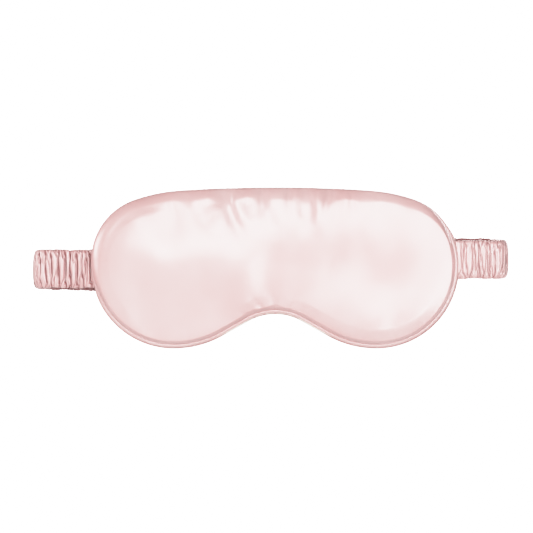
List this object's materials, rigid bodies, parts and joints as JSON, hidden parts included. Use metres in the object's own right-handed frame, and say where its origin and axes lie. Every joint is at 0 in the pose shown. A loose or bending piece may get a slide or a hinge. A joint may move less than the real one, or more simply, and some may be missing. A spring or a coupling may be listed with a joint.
{
  "type": "sleep eye mask",
  "caption": "Padded satin eye mask with a nose arch, piped edge and a gathered elastic strap that folds flat behind it and opens to go round the head.",
  "frame": {"origin": "middle of the back panel, on the plane that lies against the face", "axes": "+Z towards the wearer's brow, -Y out of the front of the mask, +X to the right as seen from the front"},
  "size_m": [0.2774, 0.0257, 0.0942],
  "materials": {
    "blush_satin": "glossy satin weave",
    "back_satin": "satin weave",
    "piping_satin": "satin weave cut on the bias",
    "strap_satin": "gathered satin weave",
    "wadding": "matt polyester wadding",
    "blackout_cloth": "matt close weave",
    "cotton_cord": "twisted cotton",
    "thread": "spun polyester thread",
    "elastic": "woven elastic"
  },
  "bodies": {
    "mask": {"front_panel": "blush_satin", "front_wadding": "wadding", "blackout_lining": "blackout_cloth", "back_wadding": "wadding", "back_panel": "back_satin", "piping_cover": "piping_satin", "piping_cord": "cotton_cord", "edge_seam_thread": "thread", "left_strap_tack": "thread", "right_strap_tack": "thread"},
    "left_side": {"casing_left_side": "strap_satin", "elastic_left_side": "elastic", "casing_left_turn": "strap_satin", "elastic_left_turn": "elastic"},
    "left_back": {"casing_left_back": "strap_satin", "elastic_left_back": "elastic", "casing_back_middle": "strap_satin", "elastic_back_middle": "elastic"},
    "right_back": {"casing_right_back": "strap_satin", "elastic_right_back": "elastic"},
    "right_side": {"casing_right_side": "strap_satin", "elastic_right_side": "elastic", "casing_right_turn": "strap_satin", "elastic_right_turn": "elastic"}
  },
  "joints": [
    {"name": "strap_opens", "type": "hinge", "parent": "mask", "child": "left_side", "pos_m": [-0.1054, -0.0022, -0.0004], "axis": [0, 0, -1], "range_deg": [0, 90], "stiffness_Nm_per_rad": 0.01},
    {"name": "left_turn_opens", "type": "hinge", "parent": "left_side", "child": "left_back", "pos_m": [-0.133, 0.0049, -0.0008], "axis": [0, 0, 1], "range_deg": [0, 127], "stiffness_Nm_per_rad": 0.005, "deforming": ["casing_left_turn", "elastic_left_turn"]},
    {"name": "back_folds", "type": "hinge", "parent": "left_back", "child": "right_back", "pos_m": [-0.0026, 0.0111, 0.0022], "axis": [0, 0, -1], "range_deg": [0, 77], "stiffness_Nm_per_rad": 0.005, "deforming": ["casing_back_middle", "elastic_back_middle"]},
    {"name": "right_turn_opens", "type": "hinge", "parent": "right_back", "child": "right_side", "pos_m": [0.1278, 0.0049, 0.0052], "axis": [0, 0, 1], "range_deg": [0, 130], "stiffness_Nm_per_rad": 0.005, "deforming": ["casing_right_turn", "elastic_right_turn"]}
  ],
  "couplings": [
    {"joint": "left_turn_opens", "follows": "strap_opens", "ratio": 1.4099},
    {"joint": "back_folds", "follows": "strap_opens", "ratio": 0.85345},
    {"joint": "right_turn_opens", "follows": "strap_opens", "ratio": 1.4436}
  ]
}
